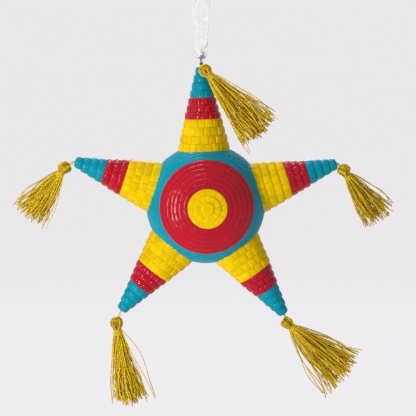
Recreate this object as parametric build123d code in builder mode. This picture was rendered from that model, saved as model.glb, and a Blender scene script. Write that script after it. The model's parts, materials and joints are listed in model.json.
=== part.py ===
from build123d import *
import os
from math import acos, cos, degrees, radians, sin, sqrt

# A five-pointed star pinata ornament. A round ball of two half shells carries a stepped
# dish and a button on its front and back, and five stepped conical points around its rim.
# Each point is a collar, a band and a cap, and ends in a metallic-thread tassel. A wire
# eye in the top point hangs on a loop of ribbon.
#
# Frame, in millimetres: the origin is inside the top of the ribbon loop, where the hook
# or branch bears. +Z is up, the front faces -Y, and +X is to the right seen from there.

# ---------------------------------------------------------------- driving dimensions
# Ball
ball_radius = 24.0          # over the outer edges of its rings
ball_wall = 2.4
ring_step = 0.45            # how far each ring's outer edge stands over the next ring
dish_angle = 52.0           # polar angle of a dish's rim, from the ball's front-back axis
button_angle = 18.9         # polar angle of a button's rim
shell_rings = 7             # rings from the dish's rim to the equator
dish_rings = 6
button_rings = 3
dish_spigot_depth = 2.0
dish_spigot_wall = 1.5
button_spigot_depth = 1.8
button_shoulder = 1.4       # button's rim to its spigot

# Points
point_names = ("top", "right", "lower_right", "lower_left", "left")
point_bearings = (-1.8, 73.2, 144.8, 218.3, 288.0)   # degrees clockwise from up
base_radius = 10.1          # first row of a collar
tip_radius = 2.4            # last row of a cap
collar_length = 12.1        # the part of a collar that stands clear of the ball
band_length = 8.4
cap_length = 12.3
collar_rows = 4
band_rows = 3
cap_rows = 4
base_rise = 0.9             # collar's seat up to the ball's surface
row_chamfer = 0.4           # shoulder at the outer end of each row
tip_chamfer = 0.8
point_wall = 2.0
spigot_depth = 2.0
neck_step = 2.1             # collar's first row to its neck
flange_step = 1.4           # collar's neck to the flange inside the ball
flange_thickness = 1.0
tip_hole_radius = 0.5       # through each cap's blunt end

# Hanger eye
wire_radius = 0.45
eye_radius = 1.85           # to the middle of the wire
shank_length = 5.0

# Tassels
anchor_knot_radius = 1.0    # thread's knot inside the tip
anchor_stem_radius = 0.3
pivot_ball_radius = 0.4
pivot_rise = 0.3            # tip's end to the pivot
thread_radius = 0.35        # two threads side by side
pivot_gap = 0.1             # between the parts of a thread pivot
head_radius = 2.45
head_cup_depth = 0.3        # head's surface to the pivot inside it
head_cup_radius = 0.7
neck_radius = 1.3
neck_length = 2.4
binding_thickness = 0.4
binding_height = 1.6
binding_offset = 0.4
skirt_flatness = 0.6        # a skirt's thickness over its width
# Middle of each head from its pivot: to the right, back and up
head_offsets = (
    (1.45, -3.9, -1.75),
    (2.65, 0.0, -2.8),
    (0.9, -1.5, -3.2),
    (-1.6, 0.0, -5.2),
    (-3.85, 0.0, -2.6),
)
tassel_swings = (41.0, 35.0, 49.5, 8.0, -38.0)       # degrees from straight down, to the right
tassel_leans = (-14.0, 30.0, 0.0, 0.0, 30.0)         # degrees to the back
skirt_lengths = (28.5, 26.0, 27.0, 27.5, 25.5)
skirt_widths = (16.5, 15.0, 20.0, 13.0, 14.3)

# Ribbon
ribbon_drop = 50.0          # hook to the wire at the top of the eye
ribbon_width = 7.0
ribbon_thickness = 0.3
loop_radius = 6.5           # inside the top of the loop
plain_end = 28.0            # below this the plies close in on the eye
plain_end_half_gap = 5.2
gather_rise = 3.2           # eye's wire up to where the plies are pleated
gathered_width = 4.3
gathered_half_gap = 1.0
strap_width = 1.2           # bunched ribbon through the eye
strap_thickness = 0.6
strap_gap = 0.25            # eye's wire to the bunched ribbon
knot_size = (5.2, 3.6, 3.4)
knot_fillet = 1.2
tail_length = 14.0
tail_width = 6.0
tail_splay = 24.0

clearance = 0.1             # glued fits

# ---------------------------------------------------------------- derived places
seat_radius = base_radius + clearance
seat_level = sqrt((ball_radius - ring_step) ** 2 - seat_radius ** 2) - clearance
point_base = seat_level + base_rise
collar_end = point_base + collar_length
band_end = collar_end + band_length
point_reach = band_end + cap_length
rows = collar_rows + band_rows + cap_rows

neck_outer = base_radius - neck_step
neck_hole = neck_outer + clearance
flange_radius = neck_outer + flange_step
inner_radius = ball_radius - ball_wall
flange_top = sqrt(inner_radius ** 2 - (flange_radius + clearance) ** 2) - clearance

pivot_level = point_reach + pivot_rise
eye_pivot = Vector(0, 0, -ribbon_drop)
eye_reach = point_reach + wire_radius + 2 * eye_radius


def point_axis(bearing):
    """The direction in which a point stands out of the ball."""
    return Vector(sin(radians(bearing)), 0, cos(radians(bearing)))


def point_side(bearing):
    """Square to a point's axis, in the plane of the star."""
    return Vector(cos(radians(bearing)), 0, -sin(radians(bearing)))


ball_centre = eye_pivot - point_axis(point_bearings[0]) * eye_reach


def on_sphere(radius, angle):
    """Distance from the ball's front-back axis, and height along it."""
    return (radius * sin(radians(angle)), radius * cos(radians(angle)))


def ring_outline(start_angle, end_angle, count):
    """The stepped outline of some rings, from the one nearest the pole outwards."""
    pitch = (end_angle - start_angle) / count
    outline = []
    for ring in range(count):
        outline.append(on_sphere(ball_radius - ring_step, start_angle + ring * pitch))
        outline.append(on_sphere(ball_radius, start_angle + (ring + 1) * pitch))
    return outline


def row_radius(row):
    """Radius of a point's row, counted from the ball."""
    return base_radius + (tip_radius - base_radius) * row / (rows - 1)


def row_outline(first_row, count, start, end, chamfer_last):
    """The stepped outline of some rows, along a point's axis."""
    pitch = (end - start) / count
    outline = []
    for row in range(count):
        radius = row_radius(first_row + row)
        bevel = chamfer_last if first_row + row == rows - 1 else row_chamfer
        level = start + (row + 1) * pitch
        outline.append((radius, level - pitch))
        outline.append((radius, level - bevel))
        outline.append((radius - bevel, level))
    return outline


def save(piece, name):
    piece.part.label = name
    export_step(piece.part, f"parts/{name}.step")


os.makedirs("parts", exist_ok=True)

# ---------------------------------------------------------------- ball
shell_opening_height = (ball_radius - ring_step) * cos(radians(dish_angle))
shell_opening = sqrt(inner_radius ** 2 - shell_opening_height ** 2)
dish_spigot = shell_opening - clearance
dish_opening_height = (ball_radius - ring_step) * cos(radians(button_angle))
dish_opening = (ball_radius - ring_step) * sin(radians(button_angle)) - button_shoulder
button_spigot = dish_opening - clearance
dish_inner_height = sqrt(inner_radius ** 2 - dish_opening ** 2)

for half_name, half in (("front", -1), ("back", 1)):
    half_plane = Plane(origin=ball_centre, x_dir=(1, 0, 0), z_dir=(0, 0, half))
    pole = Axis(ball_centre, (0, half, 0))

    with BuildPart() as shell:
        with BuildSketch(half_plane):
            with BuildLine():
                Polyline(
                    (shell_opening, shell_opening_height),
                    *ring_outline(dish_angle, 90, shell_rings),
                    (inner_radius, 0),
                )
                RadiusArc((inner_radius, 0), (shell_opening, shell_opening_height), -inner_radius)
            make_face()
        revolve(axis=pole)
        for bearing in point_bearings:
            seat = Plane(origin=ball_centre + point_axis(bearing) * seat_level, z_dir=point_axis(bearing))
            with BuildSketch(seat):
                Circle(seat_radius)
            extrude(amount=base_radius, mode=Mode.SUBTRACT)
            with BuildSketch(seat):
                Circle(neck_hole)
            extrude(amount=-base_radius, mode=Mode.SUBTRACT)
    save(shell, f"{half_name}_shell")

    with BuildPart() as dish:
        with BuildSketch(half_plane):
            with BuildLine():
                Polyline(
                    (dish_opening, dish_inner_height),
                    (dish_opening, dish_opening_height),
                    *ring_outline(button_angle, dish_angle, dish_rings),
                    on_sphere(ball_radius - ring_step, dish_angle),
                    (dish_spigot, shell_opening_height),
                    (dish_spigot, shell_opening_height - dish_spigot_depth),
                    (dish_spigot - dish_spigot_wall, shell_opening_height - dish_spigot_depth),
                    (dish_spigot - dish_spigot_wall, shell_opening_height),
                )
                RadiusArc(
                    (dish_spigot - dish_spigot_wall, shell_opening_height),
                    (dish_opening, dish_inner_height),
                    -inner_radius,
                )
            make_face()
        revolve(axis=pole)
    save(dish, f"{half_name}_dish")

    with BuildPart() as button:
        with BuildSketch(half_plane):
            with BuildLine():
                Polyline(
                    (0, dish_opening_height - button_spigot_depth),
                    (0, ball_radius),
                    *ring_outline(0, button_angle, button_rings)[1:],
                    on_sphere(ball_radius - ring_step, button_angle),
                    (button_spigot, dish_opening_height),
                    (button_spigot, dish_opening_height - button_spigot_depth),
                    close=True,
                )
            make_face()
        revolve(axis=pole)
    save(button, f"{half_name}_button")

# ---------------------------------------------------------------- points
collar_bore = row_radius(collar_rows - 1) - point_wall
band_spigot = collar_bore - clearance
band_bore = row_radius(collar_rows + band_rows - 1) - point_wall
cap_spigot = band_bore - clearance
cap_bore = row_radius(rows - 3) - point_wall
cap_bore_end = band_end + cap_length * (cap_rows - 2) / cap_rows
collar_base_bore = neck_outer - point_wall

for name, bearing in zip(point_names, point_bearings):
    axis = point_axis(bearing)
    point_plane = Plane(origin=ball_centre, x_dir=point_side(bearing), z_dir=(0, -1, 0))
    point_line = Axis(ball_centre, axis)

    with BuildPart() as collar:
        with BuildSketch(point_plane):
            with BuildLine():
                Polyline(
                    (collar_base_bore, flange_top - flange_thickness),
                    (flange_radius, flange_top - flange_thickness),
                    (flange_radius, flange_top),
                    (neck_outer, flange_top),
                    (neck_outer, seat_level),
                    (base_radius, seat_level),
                    *row_outline(0, collar_rows, point_base, collar_end, tip_chamfer)[1:],
                    (collar_bore, collar_end),
                    (collar_bore, collar_end - spigot_depth - clearance),
                    (collar_base_bore, seat_level),
                    close=True,
                )
            make_face()
        revolve(axis=point_line)
    save(collar, f"{name}_collar")

    with BuildPart() as band:
        with BuildSketch(point_plane):
            with BuildLine():
                Polyline(
                    (band_bore, collar_end - spigot_depth),
                    (band_spigot, collar_end - spigot_depth),
                    (band_spigot, collar_end),
                    *row_outline(collar_rows, band_rows, collar_end, band_end, tip_chamfer),
                    (band_bore, band_end),
                    close=True,
                )
            make_face()
        revolve(axis=point_line)
    save(band, f"{name}_band")

    with BuildPart() as cap:
        with BuildSketch(point_plane):
            with BuildLine():
                Polyline(
                    (cap_bore, band_end - spigot_depth),
                    (cap_spigot, band_end - spigot_depth),
                    (cap_spigot, band_end),
                    *row_outline(collar_rows + band_rows, cap_rows, band_end, point_reach, tip_chamfer),
                    (tip_hole_radius, point_reach),
                    (tip_hole_radius, cap_bore_end),
                    (cap_bore, cap_bore_end),
                    close=True,
                )
            make_face()
        revolve(axis=point_line)
    save(cap, f"{name}_cap")

# ---------------------------------------------------------------- hanger eye
top_axis = point_axis(point_bearings[0])
top_side = point_side(point_bearings[0])
top_tip = ball_centre + top_axis * point_reach
eye_centre = top_tip + top_axis * (wire_radius + eye_radius)

with BuildPart() as hanger_eye:
    with BuildSketch(Plane(origin=eye_centre, x_dir=top_side, z_dir=(0, -1, 0))):
        with Locations((0, eye_radius)):
            Circle(wire_radius)
    revolve(axis=Axis(eye_centre, top_side))
    with BuildSketch(Plane(origin=top_tip - top_axis * shank_length, z_dir=top_axis)):
        Circle(wire_radius)
    extrude(amount=shank_length + wire_radius)
save(hanger_eye, "hanger_eye")

# ---------------------------------------------------------------- tassels
# The top tassel's thread is looped round the front of the eye's wire, below its middle.
loop_bearing = radians(225)
wire_spot = eye_centre + Vector(0, sin(loop_bearing), 0) * eye_radius
wire_spot = wire_spot + top_axis * cos(loop_bearing) * eye_radius
wire_way = Vector(0, cos(loop_bearing), 0) - top_axis * sin(loop_bearing)
loop_out = (wire_spot - eye_centre).normalized()
thread_loop_radius = wire_radius + thread_radius + pivot_gap / 2

pivots = []
for name, bearing in zip(point_names, point_bearings):
    pivots.append(ball_centre + point_axis(bearing) * pivot_level)
pivots[0] = wire_spot + loop_out * (thread_loop_radius + pivot_ball_radius)

for index, name in enumerate(point_names):
    pivot = pivots[index]
    head_middle = pivot + Vector(*head_offsets[index])
    thread_way = (head_middle - pivot).normalized()
    head_pivot = head_middle - thread_way * (head_radius - head_cup_depth)
    swing = radians(tassel_swings[index])
    lean = radians(tassel_leans[index])
    hang_way = Vector(sin(swing) * cos(lean), sin(lean), -cos(swing) * cos(lean))
    across = Vector(cos(swing), 0, sin(swing))
    neck_drop = sqrt(head_radius ** 2 - neck_radius ** 2)
    head_plane = Plane(origin=head_middle, x_dir=across, z_dir=hang_way)
    neck_plane = head_plane.offset(neck_drop)

    with BuildPart() as anchor:
        if index == 0:
            with BuildSketch(Plane(origin=wire_spot, x_dir=loop_out, z_dir=top_side)):
                with Locations((thread_loop_radius, 0)):
                    Circle(thread_radius)
            revolve(axis=Axis(wire_spot, wire_way))
        else:
            knot_level = cap_bore_end - anchor_knot_radius
            knot_middle = ball_centre + point_axis(point_bearings[index]) * knot_level
            with Locations(knot_middle):
                Sphere(anchor_knot_radius)
            with BuildSketch(Plane(origin=knot_middle, z_dir=pivot - knot_middle)):
                Circle(anchor_stem_radius)
            extrude(amount=(pivot - knot_middle).length)
        with Locations(pivot):
            Sphere(pivot_ball_radius)
    save(anchor, f"{name}_thread_anchor")

    with BuildPart() as thread:
        thread_start = pivot_ball_radius + pivot_gap
        with BuildSketch(Plane(origin=pivot + thread_way * thread_start, z_dir=thread_way)):
            Circle(thread_radius)
        extrude(amount=(head_pivot - pivot).length - thread_start)
        with Locations(head_pivot):
            Sphere(pivot_ball_radius)
    save(thread, f"{name}_hang_thread")

    with BuildPart() as head:
        with Locations(head_plane):
            Sphere(head_radius, arc_size2=degrees(acos(neck_radius / head_radius)), align=None)
        with Locations(head_pivot):
            Sphere(pivot_ball_radius + pivot_gap, mode=Mode.SUBTRACT)
        with BuildSketch(Plane(origin=head_pivot, z_dir=-thread_way)):
            Circle(head_cup_radius)
        extrude(amount=head_radius, mode=Mode.SUBTRACT)
    save(head, f"{name}_tassel_head")

    with BuildPart() as binding:
        with BuildSketch(neck_plane.offset(binding_offset)):
            Circle(neck_radius + clearance / 2 + binding_thickness)
            Circle(neck_radius + clearance / 2, mode=Mode.SUBTRACT)
        extrude(amount=binding_height)
    save(binding, f"{name}_tassel_binding")

    with BuildPart() as skirt:
        half_width = skirt_widths[index] / 2
        flare = skirt_lengths[index] - neck_length
        with BuildSketch(neck_plane):
            Circle(neck_radius)
        extrude(amount=neck_length)
        with BuildSketch(neck_plane.offset(neck_length)):
            Circle(neck_radius)
        with BuildSketch(neck_plane.offset(neck_length + flare / 2)):
            middle = (neck_radius + half_width) / 2
            Ellipse(middle, middle * (1 + skirt_flatness) / 2)
        with BuildSketch(neck_plane.offset(skirt_lengths[index])):
            Ellipse(half_width, half_width * skirt_flatness)
        loft()
    save(skirt, f"{name}_tassel_skirt")

# ---------------------------------------------------------------- ribbon
outer_loop = loop_radius + ribbon_thickness
plain_inner = plain_end_half_gap - ribbon_thickness / 2
plain_outer = plain_end_half_gap + ribbon_thickness / 2
strap_inner = wire_radius + strap_gap
strap_middle = strap_inner + strap_thickness / 2

with BuildPart() as ribbon:
    with BuildSketch(Plane.YZ.offset(-ribbon_width / 2)):
        with BuildLine():
            Line((-plain_outer, -plain_end), (-outer_loop, -loop_radius))
            ThreePointArc((-outer_loop, -loop_radius), (0, ribbon_thickness), (outer_loop, -loop_radius))
            Polyline(
                (outer_loop, -loop_radius),
                (plain_outer, -plain_end),
                (plain_inner, -plain_end),
                (loop_radius, -loop_radius),
            )
            ThreePointArc((loop_radius, -loop_radius), (0, 0), (-loop_radius, -loop_radius))
            Polyline(
                (-loop_radius, -loop_radius),
                (-plain_inner, -plain_end),
                (-plain_outer, -plain_end),
            )
        make_face()
    extrude(amount=ribbon_width)
    for side in (-1, 1):
        with BuildSketch(Plane.XY.offset(-plain_end)):
            with Locations((0, side * plain_end_half_gap)):
                Rectangle(ribbon_width, ribbon_thickness)
        with BuildSketch(Plane.XY.offset(gather_rise - ribbon_drop)):
            with Locations((0, side * gathered_half_gap)):
                Rectangle(gathered_width, ribbon_thickness)
        with BuildSketch(Plane.XY.offset(-ribbon_drop)):
            with Locations((side * strap_middle, 0)):
                Rectangle(strap_thickness, strap_width)
        loft(ruled=True)
    with BuildSketch(Plane.XZ.offset(-strap_width / 2)):
        with Locations((0, -ribbon_drop)):
            Circle(strap_inner + strap_thickness)
            Circle(strap_inner, mode=Mode.SUBTRACT)
            Rectangle(
                4 * strap_middle,
                2 * strap_middle,
                align=(Align.CENTER, Align.MIN),
                mode=Mode.SUBTRACT,
            )
    extrude(amount=strap_width)
save(ribbon, "ribbon")

with BuildPart() as ribbon_knot:
    with Locations((0, 0, ribbon_thickness)):
        Box(*knot_size, align=(Align.CENTER, Align.CENTER, Align.MIN))
    fillet(ribbon_knot.edges(), knot_fillet)
    for side in (-1, 1):
        tail_way = Vector(0, side * sin(radians(tail_splay)), cos(radians(tail_splay)))
        with BuildSketch(Plane(origin=(0, 0, knot_size[2] / 2), x_dir=(1, 0, 0), z_dir=tail_way)):
            Rectangle(tail_width, ribbon_thickness)
        extrude(amount=tail_length)
save(ribbon_knot, "ribbon_knot")
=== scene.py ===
import json
import math

import bpy
import numpy as np
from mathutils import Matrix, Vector

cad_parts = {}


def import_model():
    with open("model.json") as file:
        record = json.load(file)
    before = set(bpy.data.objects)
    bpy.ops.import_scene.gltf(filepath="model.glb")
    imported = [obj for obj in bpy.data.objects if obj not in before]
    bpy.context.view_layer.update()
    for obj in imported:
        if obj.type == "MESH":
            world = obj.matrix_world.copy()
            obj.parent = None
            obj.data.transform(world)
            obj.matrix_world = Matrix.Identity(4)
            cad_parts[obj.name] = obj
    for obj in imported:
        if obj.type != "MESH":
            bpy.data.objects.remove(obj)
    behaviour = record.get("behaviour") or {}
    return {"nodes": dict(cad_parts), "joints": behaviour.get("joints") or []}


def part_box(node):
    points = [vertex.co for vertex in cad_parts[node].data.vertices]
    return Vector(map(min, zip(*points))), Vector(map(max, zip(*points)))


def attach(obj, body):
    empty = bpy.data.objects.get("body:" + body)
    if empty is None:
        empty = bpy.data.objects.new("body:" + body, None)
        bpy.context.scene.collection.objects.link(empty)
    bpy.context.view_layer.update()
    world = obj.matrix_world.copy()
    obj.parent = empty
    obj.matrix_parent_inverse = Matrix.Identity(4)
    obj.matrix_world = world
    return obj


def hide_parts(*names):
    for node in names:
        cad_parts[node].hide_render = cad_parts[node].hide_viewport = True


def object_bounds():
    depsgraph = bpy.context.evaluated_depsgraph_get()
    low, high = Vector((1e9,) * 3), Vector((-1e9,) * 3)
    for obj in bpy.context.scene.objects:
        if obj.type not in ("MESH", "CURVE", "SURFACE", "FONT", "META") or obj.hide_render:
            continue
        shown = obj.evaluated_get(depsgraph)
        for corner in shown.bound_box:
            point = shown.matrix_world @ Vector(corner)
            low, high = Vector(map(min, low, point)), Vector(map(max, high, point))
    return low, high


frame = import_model()
cad_low, cad_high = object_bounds()

MM = 0.001
TAU = 2 * math.pi
POINTS = ("top", "right", "lower_right", "lower_left", "left")
JOINTS = {joint["name"]: joint for joint in frame["joints"]}


# ---- places from the frame
def unit(vector):
    """The vector at length 1."""
    vector = np.asarray(vector, float)
    return vector / np.linalg.norm(vector)


def node_points(name):
    """A CAD node's vertices."""
    mesh = frame["nodes"][name].data
    places = np.empty(len(mesh.vertices) * 3)
    mesh.vertices.foreach_get("co", places)
    return places.reshape(-1, 3)


def joint_place(name):
    return np.array(JOINTS[name]["pos_m"], float)


dish_low, dish_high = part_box("front_dish")
ball_centre = np.array([(dish_low.x + dish_high.x) / 2, 0.0, (dish_low.z + dish_high.z) / 2])
ball_radius = -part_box("front_button")[0].y      # the button's nub is the ball's foremost point
# Polar angles, from straight ahead, where the dish and the button end
dish_angle = math.asin((dish_high.x - dish_low.x) / 2 / ball_radius)
button_angle = math.asin(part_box("front_button")[1].x / ball_radius - ball_centre[0] / ball_radius)
eye_top = joint_place("star_swing")


# ---- mesh making
class Shape:
    """Vertices, faces, a UV for each vertex and a tint for each vertex, gathered piece by piece."""

    def __init__(self):
        self.points = []
        self.faces = []
        self.uvs = []
        self.tints = []
        self.count = 0

    def add(self, points, faces, uvs=None, tint=0.5):
        """Adds points and the quads between them. A quad may repeat a corner, as a triangle."""
        points = np.asarray(points, float).reshape(-1, 3)
        uvs = np.zeros((len(points), 2)) if uvs is None else np.asarray(uvs, float).reshape(-1, 2)
        self.points.append(points)
        self.uvs.append(uvs)
        self.tints.append(np.broadcast_to(np.asarray(tint, float).reshape(-1), (len(points),)))
        self.faces.append(np.asarray(faces, int).reshape(-1, 4) + self.count)
        self.count += len(points)

    def piece(self, name, material, body, replaces):
        """Makes the Blender object, which rides on a body and stands for some CAD nodes."""
        points = np.concatenate(self.points)
        quads = np.concatenate(self.faces).tolist()
        faces = [[v for i, v in enumerate(quad) if v != quad[i - 1]] for quad in quads]
        mesh = bpy.data.meshes.new(name)
        mesh.from_pydata(points.tolist(), [], faces)
        uvs = np.concatenate(self.uvs)
        tints = np.concatenate(self.tints)
        corners = np.empty(len(mesh.loops), int)
        mesh.loops.foreach_get("vertex_index", corners)
        mesh.uv_layers.new(name="UVMap").data.foreach_set("uv", uvs[corners].ravel())
        mesh.attributes.new("tint", "FLOAT", "POINT").data.foreach_set("value", tints)
        mesh.polygons.foreach_set("use_smooth", [True] * len(mesh.polygons))
        mesh.materials.append(material)
        mesh.update()
        made = bpy.data.objects.new(name, mesh)
        bpy.context.scene.collection.objects.link(made)
        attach(made, body)
        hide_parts(*replaces)
        return made


def loop_faces(rows, columns, close_rows=False):
    """Quads over a grid of points, row by row. The columns close on themselves."""
    r = np.arange(rows if close_rows else rows - 1)
    c = np.arange(columns)
    r, c = np.meshgrid(r, c, indexing="ij")
    r2 = (r + 1) % rows
    c2 = (c + 1) % columns
    quads = np.stack([r * columns + c, r * columns + c2, r2 * columns + c2, r2 * columns + c], -1)
    return quads.reshape(-1, 4)


def round_off(share):
    """The drop of a quarter-round edge, 1 at the edge and 0 where the rounding ends."""
    share = np.clip(share, 0, 1)
    return 1 - np.sqrt(1 - share * share)


class Turning:
    """An axis to turn things round: a level along it, a radius from it and an angle about it."""

    def __init__(self, origin, along, first):
        self.origin = np.asarray(origin, float)
        self.along = unit(along)
        self.first = unit(first)
        self.second = np.cross(self.along, self.first)

    def place(self, level, radius, angle):
        level, radius, angle = np.broadcast_arrays(level, radius, angle)
        out = np.cos(angle)[..., None] * self.first + np.sin(angle)[..., None] * self.second
        return self.origin + level[..., None] * self.along + radius[..., None] * out


def lathe(shape, turning, outline, segments=64):
    """Turns an outline of (level, radius) points into a closed solid."""
    outline = np.asarray(outline, float)
    angles = np.arange(segments) * TAU / segments
    points = turning.place(outline[:, 0, None], outline[:, 1, None], angles[None, :])
    shape.add(points, loop_faces(len(outline), segments, close_rows=True))


class Bricks:
    """The look of one colour's brickwork, given in millimetres and kept in metres. uneven is
    how far the joints stray, as a share of a brick, and the bricks stand out, in millimetres."""

    def __init__(self, length, joint_depth, joint_round, edge_depth, inner_round, outer_round,
                 crown, uneven):
        self.length = length * MM
        self.joint_depth = joint_depth * MM
        self.joint_round = joint_round * MM
        self.edge_depth = edge_depth * MM
        self.inner_round = inner_round * MM
        self.outer_round = outer_round * MM
        self.crown = crown * MM
        self.uneven = uneven


BRICK_LIFT = 0.7            # of a brick's unevenness: how far it stands out as a whole
BRICK_TILT = 0.6            # and how far its two ends differ
THINNEST = 0.05 * MM        # the least radius of a ring's inside
PAINTED_LIGHT_PER_MM = 4             # painted light: how much lighter a brick is painted for each millimetre it stands out


def brick_ring(shape, turning, start, end, look, count, depth, dice, shift=0.0, above=(0, 1)):
    """One closed ring of bricks. start and end are the (level, radius) ends of its face, above
    tells its outer side, and the ring is cut off flat the given depth under the face."""
    start = np.asarray(start, float)
    end = np.asarray(end, float)
    run = np.linalg.norm(end - start)
    way = (end - start) / run
    out = np.array([-way[1], way[0]])
    out = out * np.sign(out @ np.asarray(above, float))

    joints = (np.arange(count) + shift) * TAU / count
    joints = joints + dice.uniform(-look.uneven, look.uneven, count) * TAU / count
    middle_radius = (start[1] + end[1]) / 2
    columns = []
    for brick in range(count):
        first = joints[brick]
        last = joints[(brick + 1) % count] + (TAU if brick == count - 1 else 0)
        length = (last - first) * middle_radius
        w = min(look.joint_round, length / 2.5)
        lift = dice.uniform(-BRICK_LIFT, BRICK_LIFT) * look.uneven * MM
        tilt = dice.uniform(-BRICK_TILT, BRICK_TILT) * look.uneven * MM
        for s in (0, 0.2 * w, 0.5 * w, w, length / 2,
                  length - w, length - 0.5 * w, length - 0.2 * w):
            near = min(s, length - s)
            raised = lift + tilt * (2 * s / length - 1)
            columns.append((first + s / middle_radius, near / w, raised))
    angle, near, lift = (np.array(values)[None, :] for values in zip(*columns))

    inner = min(look.inner_round, run / 2.4)
    outer = min(look.outer_round, run / 2.4)
    t = np.array([
        0, 0.12 * inner, 0.35 * inner, 0.65 * inner, inner, (inner + run - outer) / 2,
        run - outer, run - 0.65 * outer, run - 0.35 * outer, run - 0.12 * outer, run,
    ])[:, None]
    joint = round_off(1 - near)
    edge = round_off(1 - t / inner) + round_off(1 - (run - t) / outer)
    inside = np.clip(1 - joint, 0, 1) * np.clip(1 - edge, 0, 1)
    height = look.crown * (1 - (2 * t / run - 1) ** 2) * (1 - 0.5 * joint) + lift * inside
    height = height - look.joint_depth * joint - look.edge_depth * edge

    face = start[None, :] + way[None, :] * t
    level = face[:, 0, None] + out[0] * height
    radius = face[:, 1, None] + out[1] * height
    under_end = end - out * depth
    under_start = start - out * depth
    floor = np.ones_like(angle)
    level = np.concatenate([level, under_end[0] * floor, under_start[0] * floor])
    radius = np.concatenate([radius, under_end[1] * floor, under_start[1] * floor])
    radius = np.maximum(radius, THINNEST)
    points = turning.place(level, radius, np.broadcast_to(angle, level.shape))
    faces = loop_faces(len(level), level.shape[1], close_rows=True)
    # Painted light: a brick is tinted lighter the further it stands out, as if it caught more
    # light.
    tint = np.broadcast_to(0.5 + lift / MM * PAINTED_LIGHT_PER_MM, level.shape)
    shape.add(points, faces, tint=tint.ravel())


def distance_along(line):
    """How far each point of a line is from its start, along it."""
    steps = np.linalg.norm(np.diff(line, axis=0), axis=1)
    return np.concatenate([[0], np.cumsum(steps)])


def tube(shape, path, radius, sides=6, tint=0.5):
    """A closed round tube along a path, with a UV that runs along it in millimetres."""
    path = np.asarray(path, float)
    count = len(path)
    radius = np.broadcast_to(np.asarray(radius, float), (count,))
    reach = distance_along(path) / MM
    tangent = np.gradient(path, axis=0)
    tangent /= np.linalg.norm(tangent, axis=1)[:, None]
    side = np.cross(tangent[0], (0.3, 0.5, 0.8))
    sides_out = []
    for t in tangent:
        side = side - t * np.dot(side, t)
        side = side / np.linalg.norm(side)
        sides_out.append(side)
    side = np.array(sides_out)
    other = np.cross(tangent, side)
    angles = np.arange(sides) * TAU / sides
    ring = (np.cos(angles)[None, :, None] * side[:, None, :]
            + np.sin(angles)[None, :, None] * other[:, None, :])
    points = path[:, None, :] + ring * radius[:, None, None]
    uvs = np.stack(np.broadcast_arrays(reach[:, None], angles[None, :] / TAU), -1)
    faces = loop_faces(count, sides)
    shape.add(points, faces, uvs, tint)
    for at, flip in ((0, True), (count - 1, False)):
        rim = points[at]
        middle = path[at] + tangent[at] * radius[at] * (-0.5 if flip else 0.5)
        cap = []
        for k in range(sides):
            a, b = k, (k + 1) % sides
            cap.append((sides, b, a, a) if flip else (sides, a, b, b))
        uvs = np.tile([[reach[at], 0.0]], (sides + 1, 1))
        shape.add(np.vstack([rim, middle]), cap, uvs, tint)


def circle(centre, first, second, radius, count):
    """Points round a circle, from and back to its first axis."""
    angles = np.linspace(0, TAU, count)
    return [centre + (first * math.cos(a) + second * math.sin(a)) * radius for a in angles]


def smooth_step(share):
    """From 0 to 1 with no corner at either end."""
    return share * share * (3 - 2 * share)


def smooth_path(points, samples):
    """A Catmull-Rom curve through the points."""
    points = np.asarray(points, float)
    ends = np.vstack([2 * points[0] - points[1], points, 2 * points[-1] - points[-2]])
    spans = len(points) - 1
    out = []
    for value in np.linspace(0, spans, samples):
        k = min(int(value), spans - 1)
        f = value - k
        a, b, c, d = ends[k : k + 4]
        out.append(
            0.5 * (2 * b + (c - a) * f + (2 * a - 5 * b + 4 * c - d) * f * f
                   + (3 * b - a - 3 * c + d) * f ** 3)
        )
    return np.array(out)


# ---- materials
def linear(red, green, blue):
    """A display colour, 0 to 255, as the linear colour a shader takes."""
    out = []
    for value in (red, green, blue):
        value /= 255
        out.append(value / 12.92 if value <= 0.04045 else ((value + 0.055) / 1.055) ** 2.4)
    return (*out, 1.0)


class Nodes:
    """Short calls for building a material's node tree."""

    def __init__(self, name):
        self.material = bpy.data.materials.new(name)
        self.material.use_nodes = True
        self.tree = self.material.node_tree
        self.shader = self.tree.nodes["Principled BSDF"]

    def add(self, kind, **inputs):
        node = self.tree.nodes.new(kind)
        for key, value in inputs.items():
            if hasattr(node, key):
                setattr(node, key, value)
            else:
                node.inputs[key.replace("_", " ")].default_value = value
        return node

    def link(self, source, target):
        self.tree.links.new(source, target)

    def set(self, **inputs):
        for key, value in inputs.items():
            self.shader.inputs[key.replace("_", " ")].default_value = value

    def noise(self, scale, detail=3.0, roughness=0.55):
        """Noise in the object's own coordinates; the scale is spots to a metre."""
        node = self.add("ShaderNodeTexNoise", Scale=scale, Detail=detail, Roughness=roughness)
        self.link(self.add("ShaderNodeTexCoord").outputs["Object"], node.inputs["Vector"])
        return node.outputs["Fac"]

    def ramp(self, value, *stops):
        node = self.add("ShaderNodeValToRGB")
        ramp = node.color_ramp
        while len(ramp.elements) < len(stops):
            ramp.elements.new(0.5)
        for element, (at, colour) in zip(ramp.elements, stops):
            element.position = at
            element.color = colour
        self.link(value, node.inputs["Fac"])
        return node.outputs["Color"]

    def math(self, operation, first, second):
        node = self.add("ShaderNodeMath", operation=operation)
        for socket, value in zip(node.inputs, (first, second)):
            if isinstance(value, (int, float)):
                socket.default_value = value
            else:
                self.link(value, socket)
        return node.outputs[0]

    def bump(self, height, strength, distance, before=None):
        node = self.add("ShaderNodeBump", Strength=strength, Distance=distance)
        self.link(height, node.inputs["Height"])
        if before is not None:
            self.link(before, node.inputs["Normal"])
        return node.outputs["Normal"]


def shade(colour, factor):
    return (colour[0] * factor, colour[1] * factor, colour[2] * factor, 1.0)


def grey(value):
    return (value, value, value, 1.0)


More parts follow.
